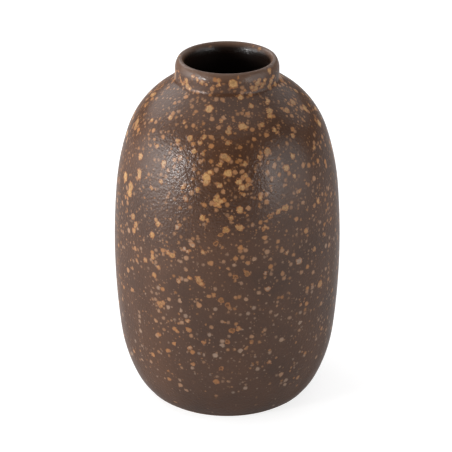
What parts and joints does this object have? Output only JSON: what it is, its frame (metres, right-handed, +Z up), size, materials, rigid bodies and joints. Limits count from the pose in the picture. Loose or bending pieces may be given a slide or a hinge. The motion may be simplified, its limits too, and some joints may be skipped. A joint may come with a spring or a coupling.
{
  "type": "bottle vase",
  "caption": "Barrel-shaped stoneware vase with a short collar neck, a thick rounded lip and a matt dark-brown speckled glaze, for flowers and branches.",
  "frame": {"origin": "centre of the foot, in the plane that the foot ring stands on", "axes": "+Z up along the axis that the vase is turned about; X and Y are alike, because the vase is round"},
  "size_m": [0.18, 0.18, 0.28],
  "materials": {
    "bare_stoneware": "unglazed fired clay, fine grit, matt",
    "speckled_glaze": "satin-matt dark-brown glaze with tan iron speckles and a faint orange-peel ripple",
    "liner_glaze": "smooth glossy dark-brown liner glaze"
  },
  "bodies": {
    "root": {"foot_slab": "bare_stoneware", "lower_wall": "bare_stoneware", "upper_wall": "bare_stoneware", "neck_collar": "bare_stoneware", "outer_glaze": "speckled_glaze", "liner_glaze": "liner_glaze"}
  },
  "joints": []
}
